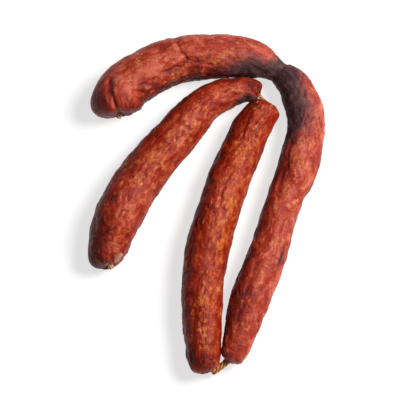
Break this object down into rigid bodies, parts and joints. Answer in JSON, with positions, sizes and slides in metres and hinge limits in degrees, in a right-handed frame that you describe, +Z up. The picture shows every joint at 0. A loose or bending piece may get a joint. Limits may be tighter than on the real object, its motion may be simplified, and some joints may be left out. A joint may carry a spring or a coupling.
{
  "type": "cured sausages",
  "caption": "String of smoked, dried sausages lying in a loose zigzag, still joined end to end by twisted natural casing.",
  "frame": {"origin": "on the table, under the middle of the string's bounding box", "axes": "+Z up from the table, +Y along the string's longest extent towards the end where the bend of the first link lies, +X across it"},
  "size_m": [0.157, 0.2337, 0.0322],
  "materials": {
    "smoked_skin": "wrinkled, mottled red-brown smoked skin with a satin gloss",
    "smoked_neck": "dark grey-brown smoked skin, smooth and dry",
    "golden_casing": "twisted dry casing, golden and slightly translucent",
    "pale_casing": "dry pale casing knot"
  },
  "bodies": {
    "root": {"link_1": "smoked_skin", "link_2": "smoked_skin", "link_3": "smoked_skin", "link_4": "smoked_skin", "twist_1_2": "smoked_neck", "twist_2_3": "golden_casing", "twist_3_4": "golden_casing", "casing_tip_1": "pale_casing", "casing_tip_4": "pale_casing"}
  },
  "joints": []
}
